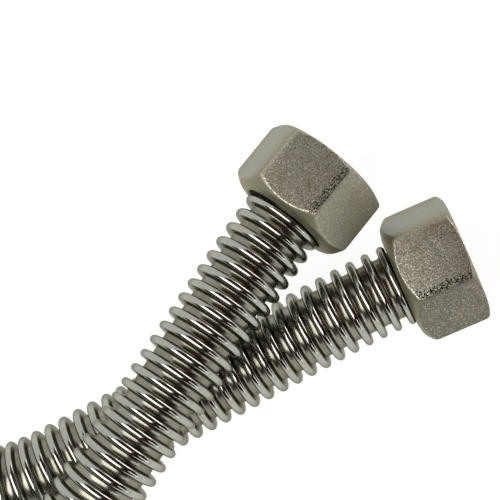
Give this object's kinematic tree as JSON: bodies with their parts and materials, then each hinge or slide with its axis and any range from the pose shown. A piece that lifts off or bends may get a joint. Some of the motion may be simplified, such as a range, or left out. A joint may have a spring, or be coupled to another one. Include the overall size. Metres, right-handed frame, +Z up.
{
  "type": "corrugated stainless steel hose with union nuts",
  "caption": "Semi-rigid corrugated steel connecting hose with a loose hexagon union nut and a flat gasket at each end, lying in a loop with its ends crossed.",
  "frame": {"origin": "middle of the whole hose's bounding box, on the surface that it lies on", "axes": "+Z up from that surface, +X along leg B towards nut B, +Y to the side that leg A leans to"},
  "size_m": [0.2304, 0.1226, 0.0447],
  "materials": {
    "stainless_steel": "bright annealed strip, rolled into rings",
    "nickel_plated_brass": "matt nickel plate over a pressed and turned blank",
    "spring_steel": "dull drawn wire",
    "fibre_gasket": "matt pressed fibre and rubber sheet"
  },
  "bodies": {
    "hose": {"corrugated_tube": "stainless_steel", "retaining_ring_a": "spring_steel", "retaining_ring_b": "spring_steel", "gasket_a": "fibre_gasket", "gasket_b": "fibre_gasket"},
    "nut_a": {"union_nut_a": "nickel_plated_brass"},
    "nut_b": {"union_nut_b": "nickel_plated_brass"}
  },
  "joints": [
    {"name": "nut_a_spin", "type": "hinge", "parent": "hose", "child": "nut_a", "pos_m": [0.07733, 0.03845, 0.02992], "axis": [0.9032, 0.4174, -0.1], "continuous": true},
    {"name": "nut_b_spin", "type": "hinge", "parent": "hose", "child": "nut_b", "pos_m": [0.09556, 0.01276, 0.015], "axis": [0.9966, -0.0826, 0], "continuous": true}
  ]
}
